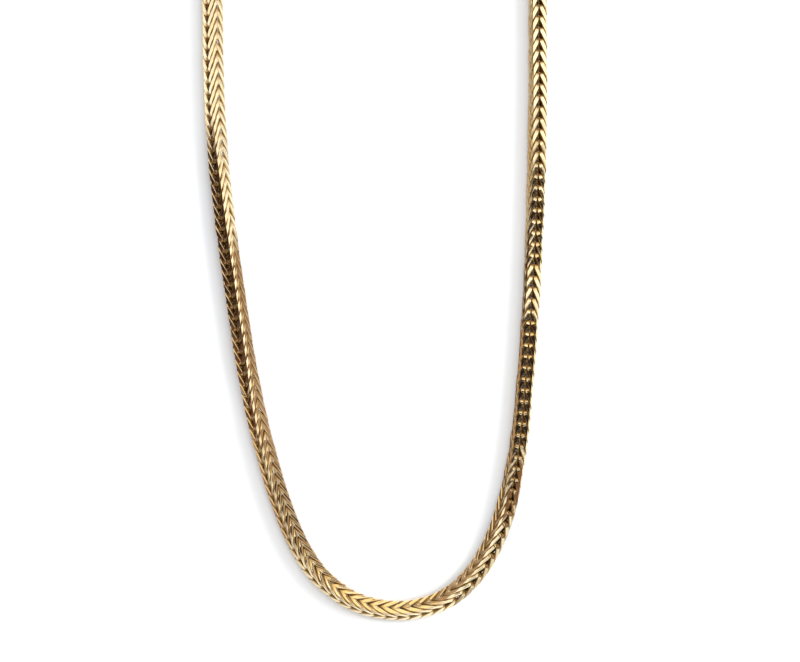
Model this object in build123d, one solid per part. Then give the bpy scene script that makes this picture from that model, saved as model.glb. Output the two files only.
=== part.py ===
"""Square woven gold neck chain, laid in a closed loop, with two end caps, a ring and a claw clasp.

Millimetres, +Z up. The necklace lies on the plane Z = 0, long way along Y, with its fastening
across the top at +Y. The origin is under the middle of the laid loop.
"""
from build123d import *
import os
from math import acos, degrees, radians, sin, sqrt, tan

# Chain
CHAIN_SQUARE = 2.5
CHAIN_CORNER = 0.3
CHAIN_TUBE = 3.0
CHAIN_SEAT = 2.6

# End caps
CAP_LENGTH = 4.2
CAP_WALL = 0.2
CAP_CORNER = 0.4
CAP_SHOULDER = 0.3
CAP_RING_WIRE = 0.7
CAP_RING_BORE = 1.6
SOLDER_DEPTH = 0.45

# Jump ring
JUMP_WIRE = 0.65
JUMP_BORE = 2.4

# Clasp
CLASP_LENGTH = 11.0
HUB_DIAMETER = 3.0
HUB_NECK_DIAMETER = 1.7
HUB_LENGTH = 4.6
EYE_WIRE = 0.65
EYE_BORE = 1.4
CLAW_WIRE = 1.1
CLAW_WIDTH = 5.1
CLAW_TAIL_WIDTH = 2.5
LEVER_NUB = 1.3

# Clearances
SEAT_CLEARANCE = 0.05
LINK_CLEARANCE = 0.1

# Where the laid chain runs: the fastening lies on one line across the top, and the chain
# leaves its left cap, comes down the left side, round the bottom and up the right side
FASTENING_Y = 97.3
CHAIN_ROUTE = [
    (-18.6, FASTENING_Y),
    (-24.9, 93.5),
    (-28.0, 86.5),
    (-28.4, 74.0),
    (-27.5, 54.0),
    (-26.2, 30.0),
    (-25.8, 6.0),
    (-25.7, -15.0),
    (-24.6, -31.0),
    (-22.3, -47.5),
    (-20.0, -62.5),
    (-16.2, -78.0),
    (-11.3, -90.5),
    (-4.2, -97.1),
    (5.2, -98.8),
    (13.8, -95.6),
    (19.8, -86.5),
    (22.7, -74.0),
    (24.1, -59.0),
    (25.1, -44.0),
    (25.7, -28.0),
    (25.9, -10.0),
    (25.7, 10.0),
    (26.2, 32.0),
    (27.4, 55.0),
    (28.3, 75.0),
    (27.9, 87.0),
    (24.7, 93.6),
    (18.6, FASTENING_Y),
]

# Share of the shorter run that each arc of the route takes up on both sides of its point
ARC_SHARE = 0.45

CAP_SIDE = CHAIN_SQUARE + 2 * (SEAT_CLEARANCE + CAP_WALL)
CAP_RING_RADIUS = CAP_RING_BORE / 2 + CAP_RING_WIRE
EYE_RADIUS = EYE_BORE / 2 + EYE_WIRE
AXIS_HEIGHT = max(CHAIN_TUBE / 2, CAP_SIDE / 2, CAP_RING_RADIUS, EYE_RADIUS, HUB_DIAMETER / 2)

# The jump ring lies flat, with its wire low in the bores of the two upright rings that it joins
CAP_RING_PLAY = (CAP_RING_BORE - JUMP_WIRE) / 2 - LINK_CLEARANCE
EYE_PLAY = (EYE_BORE - JUMP_WIRE) / 2 - LINK_CLEARANCE
JUMP_DROP = min(CAP_RING_PLAY, EYE_PLAY) * sin(radians(45))
JUMP_HEIGHT = AXIS_HEIGHT - JUMP_DROP
JUMP_RADIUS = (JUMP_BORE + JUMP_WIRE) / 2

# The fastening, set out along X from the mouth of the left cap
CAP_RING_X = CAP_LENGTH + CAP_RING_RADIUS - SOLDER_DEPTH
JUMP_X = CAP_RING_X + sqrt(CAP_RING_PLAY**2 - JUMP_DROP**2) + JUMP_RADIUS
EYE_X = JUMP_X + JUMP_RADIUS + sqrt(EYE_PLAY**2 - JUMP_DROP**2)
CLAW_TIP_X = EYE_X - EYE_RADIUS + CLASP_LENGTH
RIGHT_RING_X = CLAW_TIP_X - CLAW_WIRE - LINK_CLEARANCE + CAP_RING_BORE / 2
RIGHT_MOUTH_X = RIGHT_RING_X + CAP_RING_X
MOUTH_REACH = RIGHT_MOUTH_X / 2


def on_fastening(distance, height=AXIS_HEIGHT):
    """Place on the line of the fastening, a distance along X from the left cap's mouth."""
    return Pos(distance - MOUTH_REACH, FASTENING_Y, height)


def square_bar(side, length, corner):
    """Square bar along +X from X = 0, with its long edges rounded."""
    section = Plane.YZ * RectangleRounded(side, side, corner)
    return extrude(section, length)


def upright_ring(bore, wire):
    """Round wire ring standing in the XZ plane, centred on the origin."""
    return Rot(90, 0, 0) * Torus((bore + wire) / 2, wire / 2)


def chain_path():
    """The route as straight runs joined by tangent arcs, with its length and its radii."""
    points = [Vector(-MOUTH_REACH, FASTENING_Y)]
    points += [Vector(x, y) for x, y in CHAIN_ROUTE]
    points += [Vector(MOUTH_REACH, FASTENING_Y)]
    points = [point + Vector(0, 0, AXIS_HEIGHT) for point in points]
    radii = []
    for before, here, after in zip(points, points[1:], points[2:]):
        run_in = here - before
        run_out = after - here
        half_turn = radians(run_in.get_angle(run_out)) / 2
        radii.append(ARC_SHARE * min(run_in.length, run_out.length) / tan(half_turn))
    path = FilletPolyline(*points, radius=radii)
    return path, radii


def wheat_chain():
    """Round tube along the route, with the square chain end that each cap holds."""
    path, radii = chain_path()
    section = Plane(origin=path @ 0, z_dir=path % 0) * Circle(CHAIN_TUBE / 2)
    tube = sweep(section, path=path)
    section_times_length = section.area * path.length
    print("chain arc radii:", [round(radius, 1) for radius in radii])
    print(f"tube volume {tube.volume:.1f}, section times length {section_times_length:.1f}")
    print(f"whole necklace {path.length + 2 * MOUTH_REACH:.1f} mm")
    end = square_bar(CHAIN_SQUARE, CHAIN_SEAT, CHAIN_CORNER)
    left_end = on_fastening(0) * end
    right_end = on_fastening(RIGHT_MOUTH_X - CHAIN_SEAT) * end
    return tube + left_end + right_end


def end_cap():
    """Cap with its mouth at X = 0 facing -X, and its soldered ring standing at +X."""
    body = square_bar(CAP_SIDE, CAP_LENGTH, CAP_CORNER)
    closed_end = body.faces().sort_by(Axis.X)[-1]
    body = chamfer(closed_end.edges(), CAP_SHOULDER)
    socket_side = CHAIN_SQUARE + 2 * SEAT_CLEARANCE
    socket = square_bar(socket_side, CHAIN_SEAT + SEAT_CLEARANCE, CHAIN_CORNER + SEAT_CLEARANCE)
    ring = Pos(CAP_RING_X, 0, 0) * upright_ring(CAP_RING_BORE, CAP_RING_WIRE)
    return body - socket + ring


def jump_ring():
    """Flat ring that joins the left cap to the clasp."""
    return on_fastening(JUMP_X, JUMP_HEIGHT) * Torus(JUMP_RADIUS, JUMP_WIRE / 2)


def claw_hub(start):
    """Round hub along X from start: a small ball and a large one joined by a cone."""
    neck = Pos(start + HUB_NECK_DIAMETER / 2, 0) * Circle(HUB_NECK_DIAMETER / 2)
    belly = Pos(start + HUB_LENGTH - HUB_DIAMETER / 2, 0) * Circle(HUB_DIAMETER / 2)
    side_view = make_hull(neck.edges() + belly.edges())
    middle = start + HUB_LENGTH / 2
    above_axis = Pos(middle, HUB_DIAMETER / 2) * Rectangle(HUB_LENGTH, HUB_DIAMETER)
    return revolve(side_view & above_axis, Axis.X)


def claw_clasp():
    """One-piece clasp: upright eye, tapered round hub, and a claw with a lever nub."""
    eye = upright_ring(EYE_BORE, EYE_WIRE)
    hub_start = EYE_RADIUS - SOLDER_DEPTH
    hub = claw_hub(hub_start)
    tip_radius = (CLAW_WIDTH - CLAW_WIRE) / 2
    tail_radius = (CLAW_TAIL_WIDTH - CLAW_WIRE) / 2
    tail_x = hub_start + HUB_LENGTH - HUB_DIAMETER / 2
    tip_x = CLASP_LENGTH - EYE_RADIUS - CLAW_WIRE / 2 - tip_radius
    reach = tip_x - tail_x
    spread = degrees(acos((tail_radius - tip_radius) / reach))
    side_length = sqrt(reach**2 - (tip_radius - tail_radius) ** 2)
    bow = CenterArc((tip_x, 0), tip_radius, -spread, 2 * spread)
    lower_side = Line(bow @ 0 - bow % 0 * side_length, bow @ 0)
    upper_side = Line(bow @ 1, bow @ 1 + bow % 1 * side_length)
    claw_path = Wire([lower_side, bow, upper_side])
    claw_section = Plane(origin=claw_path @ 0, z_dir=claw_path % 0) * Circle(CLAW_WIRE / 2)
    claw = sweep(claw_section, path=claw_path)
    nub = Pos(*(upper_side @ 0.5)) * Rot(90, 0, 0) * Sphere(LEVER_NUB / 2)
    return on_fastening(EYE_X) * (eye + hub + claw + nub)


def main():
    """Build every piece and write one STEP file for each."""
    cap = end_cap()
    pieces = {
        "wheat_chain": wheat_chain(),
        "end_cap_left": on_fastening(0) * cap,
        "end_cap_right": on_fastening(RIGHT_MOUTH_X) * Rot(0, 0, 180) * cap,
        "jump_ring": jump_ring(),
        "claw_clasp": claw_clasp(),
    }
    os.makedirs("parts", exist_ok=True)
    for name, piece in pieces.items():
        export_step(piece, f"parts/{name}.step")


main()
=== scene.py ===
"""Looks of a square woven gold neck chain laid in a loop, with its fastening and a plain studio.

Metres, +Z up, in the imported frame. The camera looks straight down on the front of the loop.
Each link is a bent wire loop whose faces are cut flat. Geometry Nodes thread the links on a
straight line and bend that line along the chain's route, rolled as the chain lies.
"""

import logging
from dataclasses import dataclass, field
from enum import Enum
from math import cos, pi, radians, sin

import bmesh
import bpy
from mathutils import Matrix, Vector


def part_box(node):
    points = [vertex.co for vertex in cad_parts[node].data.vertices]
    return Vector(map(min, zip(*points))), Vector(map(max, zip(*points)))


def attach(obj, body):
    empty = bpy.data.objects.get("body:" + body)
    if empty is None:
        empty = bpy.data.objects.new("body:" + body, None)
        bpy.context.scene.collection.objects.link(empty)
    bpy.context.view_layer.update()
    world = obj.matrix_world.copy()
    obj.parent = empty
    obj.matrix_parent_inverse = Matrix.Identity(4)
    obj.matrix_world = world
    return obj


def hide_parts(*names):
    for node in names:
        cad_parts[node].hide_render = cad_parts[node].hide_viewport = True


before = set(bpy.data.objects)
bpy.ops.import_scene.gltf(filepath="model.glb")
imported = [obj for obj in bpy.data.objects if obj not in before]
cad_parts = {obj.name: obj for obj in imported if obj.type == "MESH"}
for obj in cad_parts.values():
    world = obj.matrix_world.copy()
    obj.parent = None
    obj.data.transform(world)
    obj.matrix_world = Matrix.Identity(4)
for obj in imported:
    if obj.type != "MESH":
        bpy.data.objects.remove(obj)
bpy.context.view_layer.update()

MM = 0.001
log = logging.getLogger("neck_chain")

Colour = tuple[float, float, float, float]
Place = tuple[float, float, float]
Span = tuple[float, float]

# Spans of values: a whole share, and where most values of a noise lie
SHARE = (0.0, 1.0)
NOISE = (0.35, 0.65)


def put_in_scene(name: str, data: bpy.types.ID) -> bpy.types.Object:
    """Puts a new object in the scene.

    Args:
        name: Its name.
        data: Its mesh, curve, lamp or camera.

    Returns:
        The object.
    """
    made = bpy.data.objects.new(name, data)
    bpy.context.scene.collection.objects.link(made)
    return made


def finished_mesh(work: bmesh.types.BMesh, name: str) -> bpy.types.Mesh:
    """Turns a mesh in work into a finished one, and frees the first.

    Args:
        work: The mesh in work.
        name: Name of the finished mesh.

    Returns:
        The finished mesh.
    """
    mesh = bpy.data.meshes.new(name)
    work.to_mesh(mesh)
    work.free()
    return mesh


@dataclass
class Bench:
    """A node tree that is being wired.

    Args:
        tree: The tree that the nodes go into.
    """

    tree: bpy.types.NodeTree

    @staticmethod
    def socket(sockets: bpy.types.bpy_prop_collection, key: str | int) -> bpy.types.NodeSocket:
        """Finds a socket by its place, or by the name that the node shows.

        Args:
            sockets: The inputs or outputs of a node.
            key: The socket's place or name.

        Returns:
            The socket.
        """
        if isinstance(key, int):
            return sockets[key]
        return next(found for found in sockets if found.name == key and found.enabled)

    def add(
        self, kind: str, settings: dict[str, object] | None = None, **inputs: object
    ) -> bpy.types.Node:
        """Adds a node.

        Args:
            kind: Blender's type name of the node.
            settings: The node's own properties.
            **inputs: A value or an output for each input, where _ stands for a space.

        Returns:
            The node.
        """
        node = self.tree.nodes.new(kind)
        for name, value in (settings or {}).items():
            setattr(node, name, value)
        for name, value in inputs.items():
            self.feed(node, name.replace("_", " "), value)
        return node

    def feed(self, node: bpy.types.Node, key: str | int, value: object) -> None:
        """Gives an input its value, or joins an output to it.

        Args:
            node: The node that has the input.
            key: The input's place or name.
            value: A plain value, or the output socket to join.
        """
        target = self.socket(node.inputs, key)
        if isinstance(value, bpy.types.NodeSocket):
            self.tree.links.new(value, target)
        else:
            target.default_value = value

    def math(self, operation: str, *values: object) -> bpy.types.NodeSocket:
        """Adds a Math node.

        Args:
            operation: What it does.
            *values: A number or an output for each input.

        Returns:
            Its output.
        """
        node = self.add("ShaderNodeMath", {"operation": operation})
        for place, value in enumerate(values):
            self.feed(node, place, value)
        return node.outputs[0]

    def vector(self, operation: str, *values: object) -> bpy.types.NodeSocket:
        """Adds a Vector Math node whose result is a vector.

        Args:
            operation: What it does.
            *values: A vector or an output for each input, or a number to scale by.

        Returns:
            Its vector output.
        """
        node = self.add("ShaderNodeVectorMath", {"operation": operation})
        for place, value in enumerate(values):
            self.feed(node, "Scale" if operation == "SCALE" and place else place, value)
        return node.outputs[0]

    def blend(self, factor: object, first: object, second: object) -> bpy.types.NodeSocket:
        """Adds a colour Mix node.

        Args:
            factor: How much of the second colour there is.
            first: The first colour.
            second: The second colour.

        Returns:
            Its colour output.
        """
        node = self.add("ShaderNodeMix", {"data_type": "RGBA"})
        for key, value in (("Factor", factor), ("A", first), ("B", second)):
            self.feed(node, key, value)
        return self.socket(node.outputs, "Result")

    def spread(self, value: object, given: Span, wanted: Span) -> bpy.types.NodeSocket:
        """Adds a Map Range node.

        Args:
            value: The value to map.
            given: Span of the value, outside which it is clamped.
            wanted: Span of the result.

        Returns:
            Its output.
        """
        node = self.add("ShaderNodeMapRange", Value=value)
        for key, number in zip(("From Min", "From Max", "To Min", "To Max"), (*given, *wanted)):
            self.feed(node, key, number)
        return node.outputs[0]

    def noise(self, place: object, scale: float, detail: float) -> bpy.types.NodeSocket:
        """Adds a Noise Texture node that is read at a place, and gives its value output."""
        return self.add("ShaderNodeTexNoise", Vector=place, Scale=scale, Detail=detail).outputs[0]

    def attribute(self, name: str) -> bpy.types.NodeSocket:
        """Reads a number that the mesh holds under a name."""
        return self.add("ShaderNodeAttribute", {"attribute_name": name}).outputs["Fac"]


@dataclass(frozen=True)
class GoldFinish:
    """Polished yellow gold with uneven tone, fine wear and painted shade in its recesses.

    Args:
        name: The material's name.
        pale: Colour where the alloy looks lightest.
        warm: Colour where it looks reddest.
        patch_scale: Noise scale of the slow changes of tone.
        link_share: Share of a link's tone that is its own, on the woven chain.
        polish: Roughness of the brightest spots.
        wear: Roughness of the most rubbed spots.
        grain_scale: Noise scale of the fine wear.
        grain_span: Values of that noise at the brightest and the most rubbed spots.
        scratch: Depth of the fine wear.
        scratch_strength: How much of that depth shows.
        dome: How far the worn crown of a link's wire stands up in its middle.
        gap_shade: Colour of the painted shade in the deep gaps between links.
        gap_shade_span: Recess at which the painted shade starts, and recess at which it covers
            all.
        gap_shade_metal: How metallic a gap under full painted shade still is.
        woven: Whether the piece holds the tone, recess and across attributes of the woven chain.
    """

    name: str
    pale: Colour = (0.96, 0.82, 0.54, 1)
    warm: Colour = (0.91, 0.69, 0.38, 1)
    patch_scale: float = 90.0
    link_share: float = 0.5
    polish: float = 0.05
    wear: float = 0.14
    grain_scale: float = 2600.0
    grain_span: Span = (0.3, 0.7)
    scratch: float = 0.02 * MM
    scratch_strength: float = 0.04
    dome: float = 0.006 * MM
    gap_shade: Colour = (0.40, 0.24, 0.08, 1)
    gap_shade_span: Span = (0.015, 0.11)
    gap_shade_metal: float = 0.7
    woven: bool = False

    def material(self) -> bpy.types.Material:
        """Builds the material.

        Returns:
            The node-based material.
        """
        material = bpy.data.materials.new(self.name)
        material.use_nodes = True
        bench = Bench(material.node_tree)
        shader = material.node_tree.nodes["Principled BSDF"]
        place = bench.add("ShaderNodeTexCoord").outputs["Object"]
        patches = bench.noise(place, self.patch_scale, detail=3.0)
        grain = bench.noise(place, self.grain_scale, detail=4.0)
        shade = bench.spread(patches, NOISE, SHARE)
        if self.woven:
            shade = self.link_shade(bench, shade)
        colour = bench.blend(shade, self.pale, self.warm)
        rubbed = bench.spread(grain, self.grain_span, (self.polish, self.wear))
        bump = bench.add(
            "ShaderNodeBump", Height=grain, Strength=self.scratch_strength, Distance=self.scratch
        )
        metal, normal = 1.0, bump.outputs[0]
        if self.woven:
            colour, metal = self.shade_gaps(bench, colour)
            normal = self.domed(bench, normal)
        for key, value in (
            ("Base Color", colour),
            ("Metallic", metal),
            ("Roughness", rubbed),
            ("Normal", normal),
        ):
            bench.feed(shader, key, value)
        return material

    def link_shade(self, bench: Bench, shade: bpy.types.NodeSocket) -> bpy.types.NodeSocket:
        """Mixes each link's own tone into the slow changes of tone.

        Args:
            bench: The material being wired.
            shade: How warm the gold is by the slow changes alone.

        Returns:
            How warm it is with the link's own tone.
        """
        slow = bench.math("MULTIPLY", shade, 1 - self.link_share)
        own = bench.math("MULTIPLY", bench.attribute("tone"), self.link_share)
        return bench.math("ADD", slow, own)

    def shade_gaps(
        self, bench: Bench, colour: bpy.types.NodeSocket
    ) -> tuple[bpy.types.NodeSocket, bpy.types.NodeSocket]:
        """Paints shade into the gaps between the links.

        Args:
            bench: The material being wired.
            colour: The gold's colour before the painted shade.

        Returns:
            The colour with the painted shade, and how metallic the surface is.
        """
        # Painted shade: the deeper a point lies between the links, the darker and less metallic
        # it is made, in place of occlusion.
        depth = bench.spread(bench.attribute("recess"), self.gap_shade_span, SHARE)
        metal = bench.spread(depth, SHARE, (1.0, self.gap_shade_metal))
        return bench.blend(depth, colour, self.gap_shade), metal

    def domed(self, bench: Bench, normal: bpy.types.NodeSocket) -> bpy.types.NodeSocket:
        """Rounds the crown of the links' wire a little across its width.

        Args:
            bench: The material being wired.
            normal: The normal with the fine wear.

        Returns:
            The normal on the rounded crown.
        """
        across = bench.attribute("across")
        crown = bench.math("SUBTRACT", 1.0, bench.math("MULTIPLY", across, across))
        bump = bench.add(
            "ShaderNodeBump", Height=crown, Strength=1.0, Distance=self.dome, Normal=normal
        )
        return bump.outputs[0]


class Face(Enum):
    """The chain's two pairs of faces, each with its direction round the chain in degrees."""

    X = 0.0
    Y = 90.0


@dataclass(frozen=True)
class Station:
    """A place on a quarter of the link's wire, in millimetres and degrees.

    Args:
        crown: Middle of the wire's flat crown, with the distance against the travel in Z.
        face: The face that the crown lies in before the wire is tilted.
        flat: Width of the flat crown.
        slope: Angle of the wire from the chain's length.
        tilt: How far the wire rises out of the chain here.
        flank: How much wider the wire is below its crown, on each side.
        thick: Depth of the wire below its crown.
        dome: How strongly the crown is worn round, as a share of the finish's dome.
        cut: Axis and coordinate of the plane in which the section lies, at a fold or an end.
    """

    crown: Place
    face: Face
    flat: float
    slope: float = 0.0
    tilt: float = 0.0
    flank: float = 0.13
    thick: float = 0.50
    dome: float = 1.0
    cut: tuple[int, float] | None = None

    def axes(self) -> tuple[Vector, Vector, Vector]:
        """Works out the wire's own directions.

        Returns:
            The way the wire runs, the way out of its crown, and the way across it.
        """
        turn, slope, tilt = radians(self.face.value), radians(self.slope), radians(self.tilt)
        face = Vector((cos(turn), sin(turn), 0))
        run = Vector((-sin(turn) * sin(slope), cos(turn) * sin(slope), cos(slope)))
        along = run * cos(tilt) + face * sin(tilt)
        out = face * cos(tilt) - run * sin(tilt)
        return along, out, run.cross(face)


@dataclass
class WovenLink:
    """One link: a wire loop folded over both pairs of faces, then cut flat on all four.

    X and Y are the outward directions of the faces, and Z runs along the chain the way it is
    travelled. The two heads of the loop lie on the X faces: their legs come together, run side
    by side and nose down under the link ahead. Its two arches close on the Y faces, and trail.
    Sizes are in millimetres.

    Args:
        square: The chain's width across two cut faces.
        edge: Distance from a face's middle to where its flats end at the corner.
        shoulder: Depth below the crown at which the wire is widest.
        keel: Half the width of the wire's inner side, as a share of its flat crown.
        tolerance: How near to a cut face a point counts as lying in it.
        quarter: Stations from the middle of a head, round a corner, to the middle of an arch.
    """

    square: float = 2.5
    edge: float = 1.00
    shoulder: float = 0.20
    keel: float = 0.4
    tolerance: float = 0.001
    quarter: tuple[Station, ...] = (
        Station((0.40, 0.00, -0.10), Face.Y, flat=0.60, tilt=90, thick=1.66, cut=(1, 0.0)),
        Station((0.80, 0.31, -0.04), Face.X, flat=0.40, tilt=80),
        Station((1.06, 0.32, 0.12), Face.X, flat=0.46, slope=6, tilt=42),
        Station((1.20, 0.36, 0.38), Face.X, flat=0.52, slope=18, tilt=16),
        Station((1.25, 0.46, 0.64), Face.X, flat=0.54, slope=27),
        Station((1.25, 1.00, 1.70), Face.X, flat=0.54, slope=27, cut=(1, 1.0)),
        Station(
            (1.00, 1.25, 2.41), Face.Y, flat=0.50, slope=26, flank=0.17, dome=1.6, cut=(0, 1.0)
        ),
        Station((0.40, 1.25, 3.64), Face.Y, flat=0.48, slope=26, tilt=-3, flank=0.20, dome=1.6),
        Station(
            (0.00, 1.17, 4.44), Face.Y, flat=0.38, slope=27, tilt=-12, flank=0.27, dome=1.6,
            cut=(0, 0.0),
        ),
    )

    def ring(self, station: Station) -> list[Vector]:
        """The wire's section at a station.

        Args:
            station: The place on the wire.

        Returns:
            The section's points from one corner of the crown round the wire to the other, cut
            back to the chain's faces. Those at both ends of the quarter lie in its mirror plane.
        """
        along, out, side = station.axes()
        half, middle = self.square / 2, Vector(station.crown)
        outline = (
            (station.flat / 2, 0.0),
            (station.flat / 2 + station.flank, self.shoulder),
            (station.flat * self.keel, station.thick),
        )
        points = [middle + side * across - out * depth for across, depth in outline]
        points += [middle - side * across - out * depth for across, depth in reversed(outline)]
        if station.cut:
            axis, place = station.cut
            points = [point - along * ((point[axis] - place) / along[axis]) for point in points]
        return [Vector((min(half, point.x), min(half, point.y), point.z)) for point in points]

    def mesh(self) -> bpy.types.Mesh:
        """Builds the link from its quarter, mirrored from one corner of the chain to the next.

        Returns:
            A closed mesh with sharp cut edges. Its points hold how deep they lie, as recess, and
            the side of the wire's crown that they lie on, as across.
        """
        rings = [(self.ring(station), station.dome) for station in self.quarter]
        half = self.square / 2
        work = bmesh.new()
        recess = work.verts.layers.float.new("recess")
        across = work.verts.layers.float.new("across")
        loop = []
        for flip_x, flip_y, order in ((1, 1, 1), (-1, 1, -1), (-1, -1, 1), (1, -1, -1)):
            for points, dome in rings[::order][:-1]:
                corners = []
                for place, point in enumerate(points):
                    spot = Vector((point.x * flip_x, point.y * flip_y, -point.z))
                    corner = work.verts.new(spot * MM)
                    corner[recess] = 1 - max(point.x, point.y) / half
                    corner[across] = dome if place < len(points) / 2 else -dome
                    corners.append(corner)
                loop.append(corners)
        count = len(loop[0])
        spans = list(zip(loop, loop[1:] + loop[:1]))
        for here, after in spans:
            for place in range(count):
                beside = (place + 1) % count
                work.faces.new((here[place], here[beside], after[beside], after[place]))
        bmesh.ops.recalc_face_normals(work, faces=work.faces)
        for face in work.faces:
            face.smooth = True
        for edge in work.edges:
            flats = [self.is_flat(face) for face in edge.link_faces]
            edge.smooth = flats[0] == flats[1]
        for here, after in spans:
            for place in (0, count - 1):
                work.edges.get((here[place], after[place])).smooth = False
        return finished_mesh(work, "woven_link")

    def is_flat(self, face: bmesh.types.BMFace) -> bool:
        """Tells whether a face of the mesh lies wholly in one of the chain's cut faces.

        Args:
            face: The face of the mesh.

        Returns:
            Whether it does.
        """
        half, near = self.square / 2 * MM, self.tolerance * MM
        return any(
            all(abs(abs(corner.co[axis]) - half) < near for corner in face.verts)
            for axis in (0, 1)
        )


@dataclass(frozen=True)
class RollStop:
    """How far the chain is rolled at one place.

    Args:
        distance: Distance from the left cap along the chain, in millimetres.
        degrees: Turn of the X face from straight up towards the right of the travel.
    """

    distance: float
    degrees: float


@dataclass
class WovenChain:
    """The whole chain: its links on their route, each rolled as the chain lies.

    Args:
        link: The link that is repeated.
        pitch: Distance from one link to the next.
        seat: How far the chain goes into each cap.
        wobble: Largest turn of a link out of line.
        seed: Seed of the links' small differences.
        smoothness: Steps of the curve between two points of the route.
        route: Points that the chain lies along, in millimetres, as in the part's source.
        rolls: How the chain turns about its own line.
    """

    link: WovenLink = field(default_factory=WovenLink)
    pitch: float = 1.79 * MM
    seat: float = 2.6 * MM
    wobble: float = radians(1.2)
    seed: int = 7
    smoothness: int = 24
    route: tuple[tuple[float, float], ...] = (
        (-18.6, 97.3),
        (-24.9, 93.5),
        (-28.0, 86.5),
        (-28.4, 74.0),
        (-27.5, 54.0),
        (-26.2, 30.0),
        (-25.8, 6.0),
        (-25.7, -15.0),
        (-24.6, -31.0),
        (-22.3, -47.5),
        (-20.0, -62.5),
        (-16.2, -78.0),
        (-11.3, -90.5),
        (-4.2, -97.1),
        (5.2, -98.8),
        (13.8, -95.6),
        (19.8, -86.5),
        (22.7, -74.0),
        (24.1, -59.0),
        (25.1, -44.0),
        (25.7, -28.0),
        (25.9, -10.0),
        (25.7, 10.0),
        (26.2, 32.0),
        (27.4, 55.0),
        (28.3, 75.0),
        (27.9, 87.0),
        (24.7, 93.6),
        (18.6, 97.3),
    )
    rolls: tuple[RollStop, ...] = (
        RollStop(0, 0),
        RollStop(12, 2),
        RollStop(60, 40),
        RollStop(113, 50),
        RollStop(126, 50),
        RollStop(139, 36),
        RollStop(160, 31),
        RollStop(172, 45),
        RollStop(187, 60),
        RollStop(203, 64),
        RollStop(213, 66),
        RollStop(223, 58),
        RollStop(229, 42),
        RollStop(242, 34),
        RollStop(250, 13),
        RollStop(268, 5),
        RollStop(284, 9),
        RollStop(300, 16),
        RollStop(320, 12),
        RollStop(400, 6),
        RollStop(432, 0),
    )

    def route_curve(self) -> bpy.types.Object:
        """The chain's line as a smooth curve over the route, from inside one cap to the other.

        Returns:
            The curve object, with Z holding how far the line is lifted off its resting height.
        """
        left_low, left_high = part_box("end_cap_left")
        right_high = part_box("end_cap_right")[1]
        line = self.route[0][1] * MM
        lift = (left_low.z + left_high.z) / 2 - self.link.square / 2 * MM
        points = [(left_low.x + self.seat, line, lift), (left_low.x, line, lift)]
        points += [(x * MM, y * MM, 0.0) for x, y in self.route]
        points += [(right_high.x, line, lift), (right_high.x - self.seat, line, lift)]
        curve = bpy.data.curves.new("chain_route", "CURVE")
        curve.dimensions = "3D"
        curve.resolution_u = self.smoothness
        spline = curve.splines.new("NURBS")
        spline.points.add(len(points) - 1)
        for control, point in zip(spline.points, points):
            control.co = (*point, 1.0)
        spline.order_u = 3
        spline.use_endpoint_u = True
        return put_in_scene("chain_route", curve)

    def length(self, route: bpy.types.Object) -> float:
        """Measures the line.

        Args:
            route: The route's curve object.

        Returns:
            Its length.
        """
        bpy.context.view_layer.update()
        line = bpy.data.meshes.new_from_object(route)
        places = [point.co.copy() for point in line.vertices]
        bpy.data.meshes.remove(line)
        return sum((after - before).length for before, after in zip(places, places[1:]))

    def weaving_tree(self, total: float) -> bpy.types.NodeTree:
        """Builds the tree that threads the links and bends them along the route.

        Args:
            total: Length of the route.

        Returns:
            The Geometry Nodes tree.
        """
        tree = bpy.data.node_groups.new("weave_chain", "GeometryNodeTree")
        tree.is_modifier = True
        for name, kind in (
            ("Link", "NodeSocketGeometry"),
            ("Route", "NodeSocketObject"),
            ("Pitch", "NodeSocketFloat"),
            ("Count", "NodeSocketInt"),
            ("Half Square", "NodeSocketFloat"),
            ("Flat Edge", "NodeSocketFloat"),
            ("Wobble", "NodeSocketFloat"),
            ("Seed", "NodeSocketInt"),
            ("Metal", "NodeSocketMaterial"),
        ):
            tree.interface.new_socket(name=name, in_out="INPUT", socket_type=kind)
        tree.interface.new_socket(name="Chain", in_out="OUTPUT", socket_type="NodeSocketGeometry")
        bench = Bench(tree)
        given = bench.add("NodeGroupInput").outputs
        spacing = bench.add("ShaderNodeCombineXYZ", Z=given["Pitch"]).outputs[0]
        line = bench.add("GeometryNodeMeshLine", Count=given["Count"], Offset=spacing)
        turn = bench.add(
            "FunctionNodeRandomValue",
            {"data_type": "FLOAT_VECTOR"},
            Min=bench.vector("SCALE", (-1.0, -1.0, -1.0), given["Wobble"]),
            Max=bench.vector("SCALE", (1.0, 1.0, 1.0), given["Wobble"]),
            Seed=given["Seed"],
        )
        threaded = bench.add(
            "GeometryNodeInstanceOnPoints",
            Points=line.outputs["Mesh"],
            Instance=given["Link"],
            Rotation=bench.socket(turn.outputs, "Value"),
        )
        tone = bench.add("FunctionNodeRandomValue", {"data_type": "FLOAT"}, Seed=given["Seed"])
        toned = bench.add(
            "GeometryNodeStoreNamedAttribute",
            {"data_type": "FLOAT", "domain": "INSTANCE"},
            Geometry=threaded.outputs["Instances"],
            Name="tone",
            Value=bench.socket(tone.outputs, "Value"),
        )
        realized = bench.add("GeometryNodeRealizeInstances", Geometry=toned.outputs["Geometry"])
        bent = bench.add(
            "GeometryNodeSetPosition",
            Geometry=realized.outputs["Geometry"],
            Position=self.bent_place(bench, given, total),
        )
        dressed = bench.add(
            "GeometryNodeSetMaterial", Geometry=bent.outputs["Geometry"], Material=given["Metal"]
        )
        bench.add("NodeGroupOutput", Chain=dressed.outputs["Geometry"])
        return tree

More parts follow.
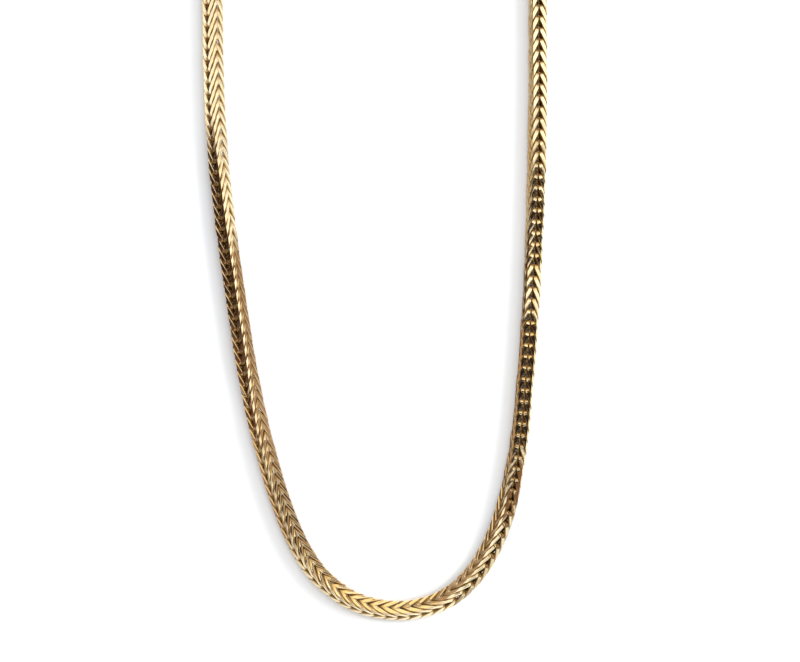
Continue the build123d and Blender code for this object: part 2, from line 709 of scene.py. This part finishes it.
    def bent_place(
        self, bench: Bench, given: bpy.types.bpy_prop_collection, total: float
    ) -> bpy.types.NodeSocket:
        """Wires the place on the route of each point of the straight chain.

        Args:
            bench: The tree being wired.
            given: The tree's inputs.
            total: Length of the route.

        Returns:
            The output with the point's place.
        """
        straight = bench.add("GeometryNodeInputPosition").outputs[0]
        here = bench.add("ShaderNodeSeparateXYZ", Vector=straight).outputs
        route = bench.add(
            "GeometryNodeObjectInfo", {"transform_space": "RELATIVE"}, Object=given["Route"]
        )
        sample = bench.add(
            "GeometryNodeSampleCurve",
            {"mode": "LENGTH"},
            Curves=route.outputs["Geometry"],
            Length=here["Z"],
        )
        tangent = bench.vector("NORMALIZE", sample.outputs["Tangent"])
        right = bench.vector("NORMALIZE", bench.vector("CROSS_PRODUCT", tangent, (0.0, 0.0, 1.0)))
        up = bench.vector("CROSS_PRODUCT", right, tangent)
        profile = bench.add("ShaderNodeFloatCurve", Value=bench.math("DIVIDE", here["Z"], total))
        self.shape_profile(profile, total)
        roll = bench.math("MULTIPLY", profile.outputs[0], pi / 2)
        face_x = self.turned(bench, up, right, roll)
        face_y = bench.vector("CROSS_PRODUCT", tangent, face_x)
        resting = bench.add("ShaderNodeCombineXYZ", Z=self.resting_height(bench, given, roll))
        place = bench.vector("ADD", sample.outputs["Position"], resting.outputs[0])
        place = bench.vector("ADD", place, bench.vector("SCALE", face_x, here["X"]))
        return bench.vector("ADD", place, bench.vector("SCALE", face_y, here["Y"]))

    @staticmethod
    def resting_height(
        bench: Bench, given: bpy.types.bpy_prop_collection, roll: bpy.types.NodeSocket
    ) -> bpy.types.NodeSocket:
        """Wires how high the line runs where the rolled chain lies on one of its edges.

        Args:
            bench: The tree being wired.
            given: The tree's inputs.
            roll: The chain's roll.

        Returns:
            The output with the height.
        """
        lean = bench.math("PINGPONG", roll, pi / 4)
        under_face = bench.math("MULTIPLY", bench.math("COSINE", lean), given["Half Square"])
        under_edge = bench.math("MULTIPLY", bench.math("SINE", lean), given["Flat Edge"])
        return bench.math("ADD", under_face, under_edge)

    @staticmethod
    def turned(
        bench: Bench,
        start: bpy.types.NodeSocket,
        towards: bpy.types.NodeSocket,
        angle: bpy.types.NodeSocket,
    ) -> bpy.types.NodeSocket:
        """Wires a direction that is turned from one direction towards another.

        Args:
            bench: The tree being wired.
            start: The direction at no turn.
            towards: The direction at a quarter turn.
            angle: The turn.

        Returns:
            The output with the turned direction.
        """
        kept = bench.vector("SCALE", start, bench.math("COSINE", angle))
        gained = bench.vector("SCALE", towards, bench.math("SINE", angle))
        return bench.vector("ADD", kept, gained)

    def shape_profile(self, node: bpy.types.Node, total: float) -> None:
        """Sets the roll's profile along the chain.

        Args:
            node: The Float Curve node, from 0 to 1 along the chain and 0 to 90 degrees.
            total: Length of the route.
        """
        curve = node.mapping.curves[0]
        places = [
            ((stop.distance * MM + self.seat) / total, stop.degrees / 90) for stop in self.rolls
        ]
        places = [(0.0, places[0][1])] + places + [(1.0, places[-1][1])]
        while len(curve.points) < len(places):
            curve.points.new(0.5, 0.5)
        for point, place in zip(curve.points, places):
            point.location = place
            point.handle_type = "AUTO_CLAMPED"
        node.mapping.update()

    def build(self, finish: GoldFinish) -> bpy.types.Object:
        """Makes the chain.

        Args:
            finish: The gold of its links.

        Returns:
            The chain's object, riding on the body.
        """
        route = self.route_curve()
        total = self.length(route)
        count = int(total / self.pitch) + 1
        tree = self.weaving_tree(total)
        chain = put_in_scene("woven_chain", self.link.mesh())
        weave = chain.modifiers.new("weave", "NODES")
        weave.node_group = tree
        values = {
            "Route": route,
            "Pitch": self.pitch,
            "Count": count,
            "Half Square": self.link.square / 2 * MM,
            "Flat Edge": self.link.edge * MM,
            "Wobble": self.wobble,
            "Seed": self.seed,
            "Metal": finish.material(),
        }
        for socket in tree.interface.items_tree:
            if socket.name in values and socket.in_out == "INPUT":
                weave[socket.identifier] = values[socket.name]
        bpy.context.view_layer.update()
        depsgraph = bpy.context.evaluated_depsgraph_get()
        woven = bpy.data.meshes.new_from_object(chain.evaluated_get(depsgraph))
        chain.modifiers.clear()
        chain.data = woven
        bpy.data.objects.remove(route)
        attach(chain, "root")
        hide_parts("wheat_chain")
        log.info("chain: %d links on %.1f mm, %d faces", count, total / MM, len(woven.polygons))
        return chain


@dataclass
class Fastening:
    """The end caps, ring and clasp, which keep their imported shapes.

    Args:
        nodes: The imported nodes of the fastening.
    """

    nodes: tuple[str, ...] = ("end_cap_left", "end_cap_right", "jump_ring", "claw_clasp")

    def dress(self, finish: GoldFinish) -> None:
        """Gives every fitting its gold.

        Args:
            finish: The gold of the fittings.
        """
        gold = finish.material()
        for name in self.nodes:
            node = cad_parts[name]
            node.data.materials.clear()
            node.data.materials.append(gold)
            log.info("dressed %s", name)


@dataclass(frozen=True)
class Card:
    """A flat card that only the metal reflects, as a studio's flag or reflector does: its glow
    paints a reflection into the metal.

    Args:
        name: Its name.
        low: Its lowest corner, in millimetres.
        high: Its highest corner, in millimetres, which shares one coordinate with the lowest.
        colour: Its colour.
        fade: Width of the border in which it fades out, in millimetres.
    """

    name: str
    low: Place
    high: Place
    colour: Colour
    fade: float = 5.0

    def material(self) -> bpy.types.Material:
        """Builds the card's own glow, the painted reflection, which its cover attribute fades.

        Returns:
            The material.
        """
        material = bpy.data.materials.new(self.name)
        material.use_nodes = True
        material.node_tree.nodes.clear()
        bench = Bench(material.node_tree)
        clear = bench.add("ShaderNodeBsdfTransparent").outputs[0]
        glow = bench.add("ShaderNodeEmission", Color=self.colour).outputs[0]
        soft = bench.add("ShaderNodeMixShader")
        for place, value in enumerate((bench.attribute("cover"), clear, glow)):
            bench.feed(soft, place, value)
        bench.add("ShaderNodeOutputMaterial", Surface=soft.outputs[0])
        return material

    def mesh(self) -> bpy.types.Mesh:
        """Builds the card with a row of cells round its middle one, in which it fades out.

        Returns:
            The mesh, with the cover attribute at 1 round its middle cell and 0 at its edge.
        """
        low, high, fade = Vector(self.low) * MM, Vector(self.high) * MM, self.fade * MM
        spans = [axis for axis in range(3) if high[axis] > low[axis]]
        cells = 3
        work = bmesh.new()
        bmesh.ops.create_grid(work, x_segments=cells, y_segments=cells, size=cells / 2)
        cover = work.verts.layers.float.new("cover")
        for corner in work.verts:
            steps = [round(place + cells / 2) for place in corner.co.xy]
            corner[cover] = 1.0 if all(0 < step < cells for step in steps) else 0.0
            corner.co = low
            for axis, step in zip(spans, steps):
                rows = (low[axis], low[axis] + fade, high[axis] - fade, high[axis])
                corner.co[axis] = rows[step]
        return finished_mesh(work, self.name)

    def hang(self) -> None:
        """Hangs the card where only reflections show it."""
        card = put_in_scene(self.name, self.mesh())
        card.data.materials.append(self.material())
        card.visible_camera = False
        card.visible_diffuse = False
        card.visible_transmission = False
        card.visible_volume_scatter = False
        card.visible_shadow = False


@dataclass(frozen=True)
class Lamp:
    """A round soft lamp that shines on the middle of the picture, and that no metal reflects.

    Args:
        name: Its name.
        place: Where it hangs, from the middle of the picture.
        width: Its diameter.
        power: Its power in watts.
    """

    name: str
    place: Place
    width: float
    power: float

    def hang(self, centre: Vector) -> None:
        """Hangs the lamp.

        Args:
            centre: The middle of the picture.
        """
        data = bpy.data.lights.new(self.name, "AREA")
        data.shape = "DISK"
        data.size = self.width
        data.energy = self.power
        lamp = put_in_scene(self.name, data)
        lamp.visible_glossy = False
        lamp.location = centre + Vector(self.place)
        lamp.rotation_euler = (-Vector(self.place)).to_track_quat("-Z", "Y").to_euler()


@dataclass
class Studio:
    """Pale floor, soft light, cards that paint reflections and the camera over the front of the
    loop.

    Args:
        view_centre: The point of the floor in the middle of the picture.
        view_width: Width of the picture at view_level.
        view_level: Height of the chain's middle over the floor.
        height: Height of the camera.
        sensor: Width of the camera's sensor, in millimetres.
        paper: Colour of the floor.
        paper_mottle: The floor's darkest spots, as a share of its colour.
        paper_scale: Noise scale of those spots.
        paper_reach: Distance from the floor's middle to its edges.
        sky: Colour of the sky.
        sky_strength: Strength of the sky where it is dimmest and where it is brightest.
        brightest: Direction of the brightest sky.
        sky_span: How far a direction points that way, where the sky is dimmest and brightest.
        room_scale: Noise scale of the sky's patches.
        room_patches: Strength of the patches, as shares of the sky's.
        lamps: The lamps, whose shadows fall to the left of the chain and under it.
        cards: The cards round the chain, whose glow paints reflections into the metal.
    """

    view_centre: tuple[float, float] = (3.97 * MM, -53.9 * MM)
    view_width: float = 127.0 * MM
    view_level: float = 1.5 * MM
    height: float = 1.2
    sensor: float = 36.0
    paper: Colour = (0.90, 0.90, 0.905, 1)
    paper_mottle: float = 0.985
    paper_scale: float = 40.0
    paper_reach: float = 3.0
    sky: Colour = (0.965, 0.985, 1.0, 1)
    sky_strength: Span = (0.32, 1.38)
    brightest: Place = (0.50, 0.45, 0.74)
    sky_span: Span = (-0.2, 1.0)
    room_scale: float = 2.2
    room_patches: Span = (0.75, 1.25)
    lamps: tuple[Lamp, ...] = (
        Lamp("soft_lamp", (0.74, 0.16, 0.60), width=0.46, power=5.4),
        Lamp("overhead", (0.0, 0.0, 2.0), width=2.4, power=9.0),
    )
    # Painted reflections: glowing cards seen only in the metal. The dark ones paint shade into
    # its reflections and the bright ones paint highlights. Those lying on the floor paint brown
    # and tan where the pale floor would be reflected.
    cards: tuple[Card, ...] = (
        Card("flag_left", (-60, -62, -1), (-60, -16, 45), (0.045, 0.024, 0.022, 1)),
        Card("flag_left_low", (-60.5, -104, -1), (-60.5, -56, 45), (0.13, 0.062, 0.045, 1)),
        Card("flag_right", (25, -80, 60), (73, -49.5, 60), (0.012, 0.010, 0.012, 1), fade=2),
        Card("flag_right_far", (25, -45, 60), (73, -27, 60), (0.012, 0.010, 0.012, 1), fade=2),
        Card("inner_wall", (2, -92, -1), (2, -50, 14), (0.46, 0.33, 0.25, 1), fade=3),
        Card("pale_front", (-85, -130, -1), (30, -130, 35), (0.85, 0.72, 0.64, 1)),
        Card("brown_table", (-70, -92, 0.1), (-20, -20, 0.1), (0.165, 0.072, 0.050, 1)),
        Card("brown_table_low", (-25, -92, 0.2), (15, -36, 0.2), (0.38, 0.25, 0.17, 1)),
        Card("tan_paper", (10, -42, 0.3), (26.5, 25, 0.3), (0.50, 0.36, 0.22, 1), fade=3),
        Card("brown_paper", (6, -90, 0.3), (26.5, -36, 0.3), (0.16, 0.105, 0.08, 1), fade=3),
        Card("brown_wall", (93, -110, -1), (93, -30, 80), (0.22, 0.13, 0.085, 1)),
        Card("copper_top", (34, -130, 60), (135, -80, 60), (0.21, 0.105, 0.075, 1), fade=3),
        Card("white_top", (105, -20, 300), (290, 120, 300), (1.75, 1.70, 1.62, 1), fade=12),
        Card("yellow_back", (-50, -20, 24), (45, -20, 130), (1.30, 1.12, 0.72, 1)),
    )

    def floor(self) -> None:
        """Lays the pale floor under the chain."""
        material = bpy.data.materials.new("paper")
        material.use_nodes = True
        bench = Bench(material.node_tree)
        shader = material.node_tree.nodes["Principled BSDF"]
        place = bench.add("ShaderNodeTexCoord").outputs["Object"]
        mottle = bench.noise(place, self.paper_scale, detail=2.0)
        darker = tuple(part * self.paper_mottle for part in self.paper[:3]) + (1,)
        bench.feed(shader, "Base Color", bench.blend(mottle, self.paper, darker))
        bench.feed(shader, "Roughness", 0.9)
        bench.feed(shader, "Specular IOR Level", 0.1)
        work = bmesh.new()
        bmesh.ops.create_grid(work, x_segments=1, y_segments=1, size=self.paper_reach)
        floor = put_in_scene("floor", finished_mesh(work, "floor"))
        floor.data.materials.append(material)

    def daylight(self) -> None:
        """Sets the sky, which is brightest on one side and a little patchy, as a room is."""
        world = bpy.data.worlds.new("daylight")
        world.use_nodes = True
        bench = Bench(world.node_tree)
        background = world.node_tree.nodes["Background"]
        view = bench.add("ShaderNodeTexCoord").outputs["Generated"]
        towards = bench.add("ShaderNodeVectorMath", {"operation": "DOT_PRODUCT"})
        bench.feed(towards, 0, view)
        bench.feed(towards, 1, self.brightest)
        slope = bench.spread(towards.outputs["Value"], self.sky_span, self.sky_strength)
        room = bench.noise(view, self.room_scale, detail=1.0)
        patchy = bench.spread(room, NOISE, self.room_patches)
        bench.feed(background, "Color", self.sky)
        bench.feed(background, "Strength", bench.math("MULTIPLY", slope, patchy))
        bpy.context.scene.world = world

    def camera(self) -> None:
        """Hangs the camera straight over the middle of the picture."""
        data = bpy.data.cameras.new("camera")
        data.sensor_width = self.sensor
        data.lens = self.sensor * (self.height - self.view_level) / self.view_width
        camera = put_in_scene("camera", data)
        camera.location = (*self.view_centre, self.height)
        bpy.context.scene.camera = camera

    def build(self) -> None:
        """Sets up the whole studio."""
        self.floor()
        for card in self.cards:
            card.hang()
        self.daylight()
        for lamp in self.lamps:
            lamp.hang(Vector((*self.view_centre, 0)))
        self.camera()
        bpy.context.scene.view_settings.view_transform = "Standard"
        log.info("studio: %d cards and %d lamps", len(self.cards), len(self.lamps))


def main() -> None:
    """Builds the chain, dresses the fastening and sets up the studio."""
    logging.basicConfig(level=logging.INFO, format="%(message)s")
    WovenChain().build(GoldFinish("woven_gold", woven=True))
    Fastening().dress(GoldFinish("fitting_gold"))
    Studio().build()


if __name__ == "__main__":
    main()
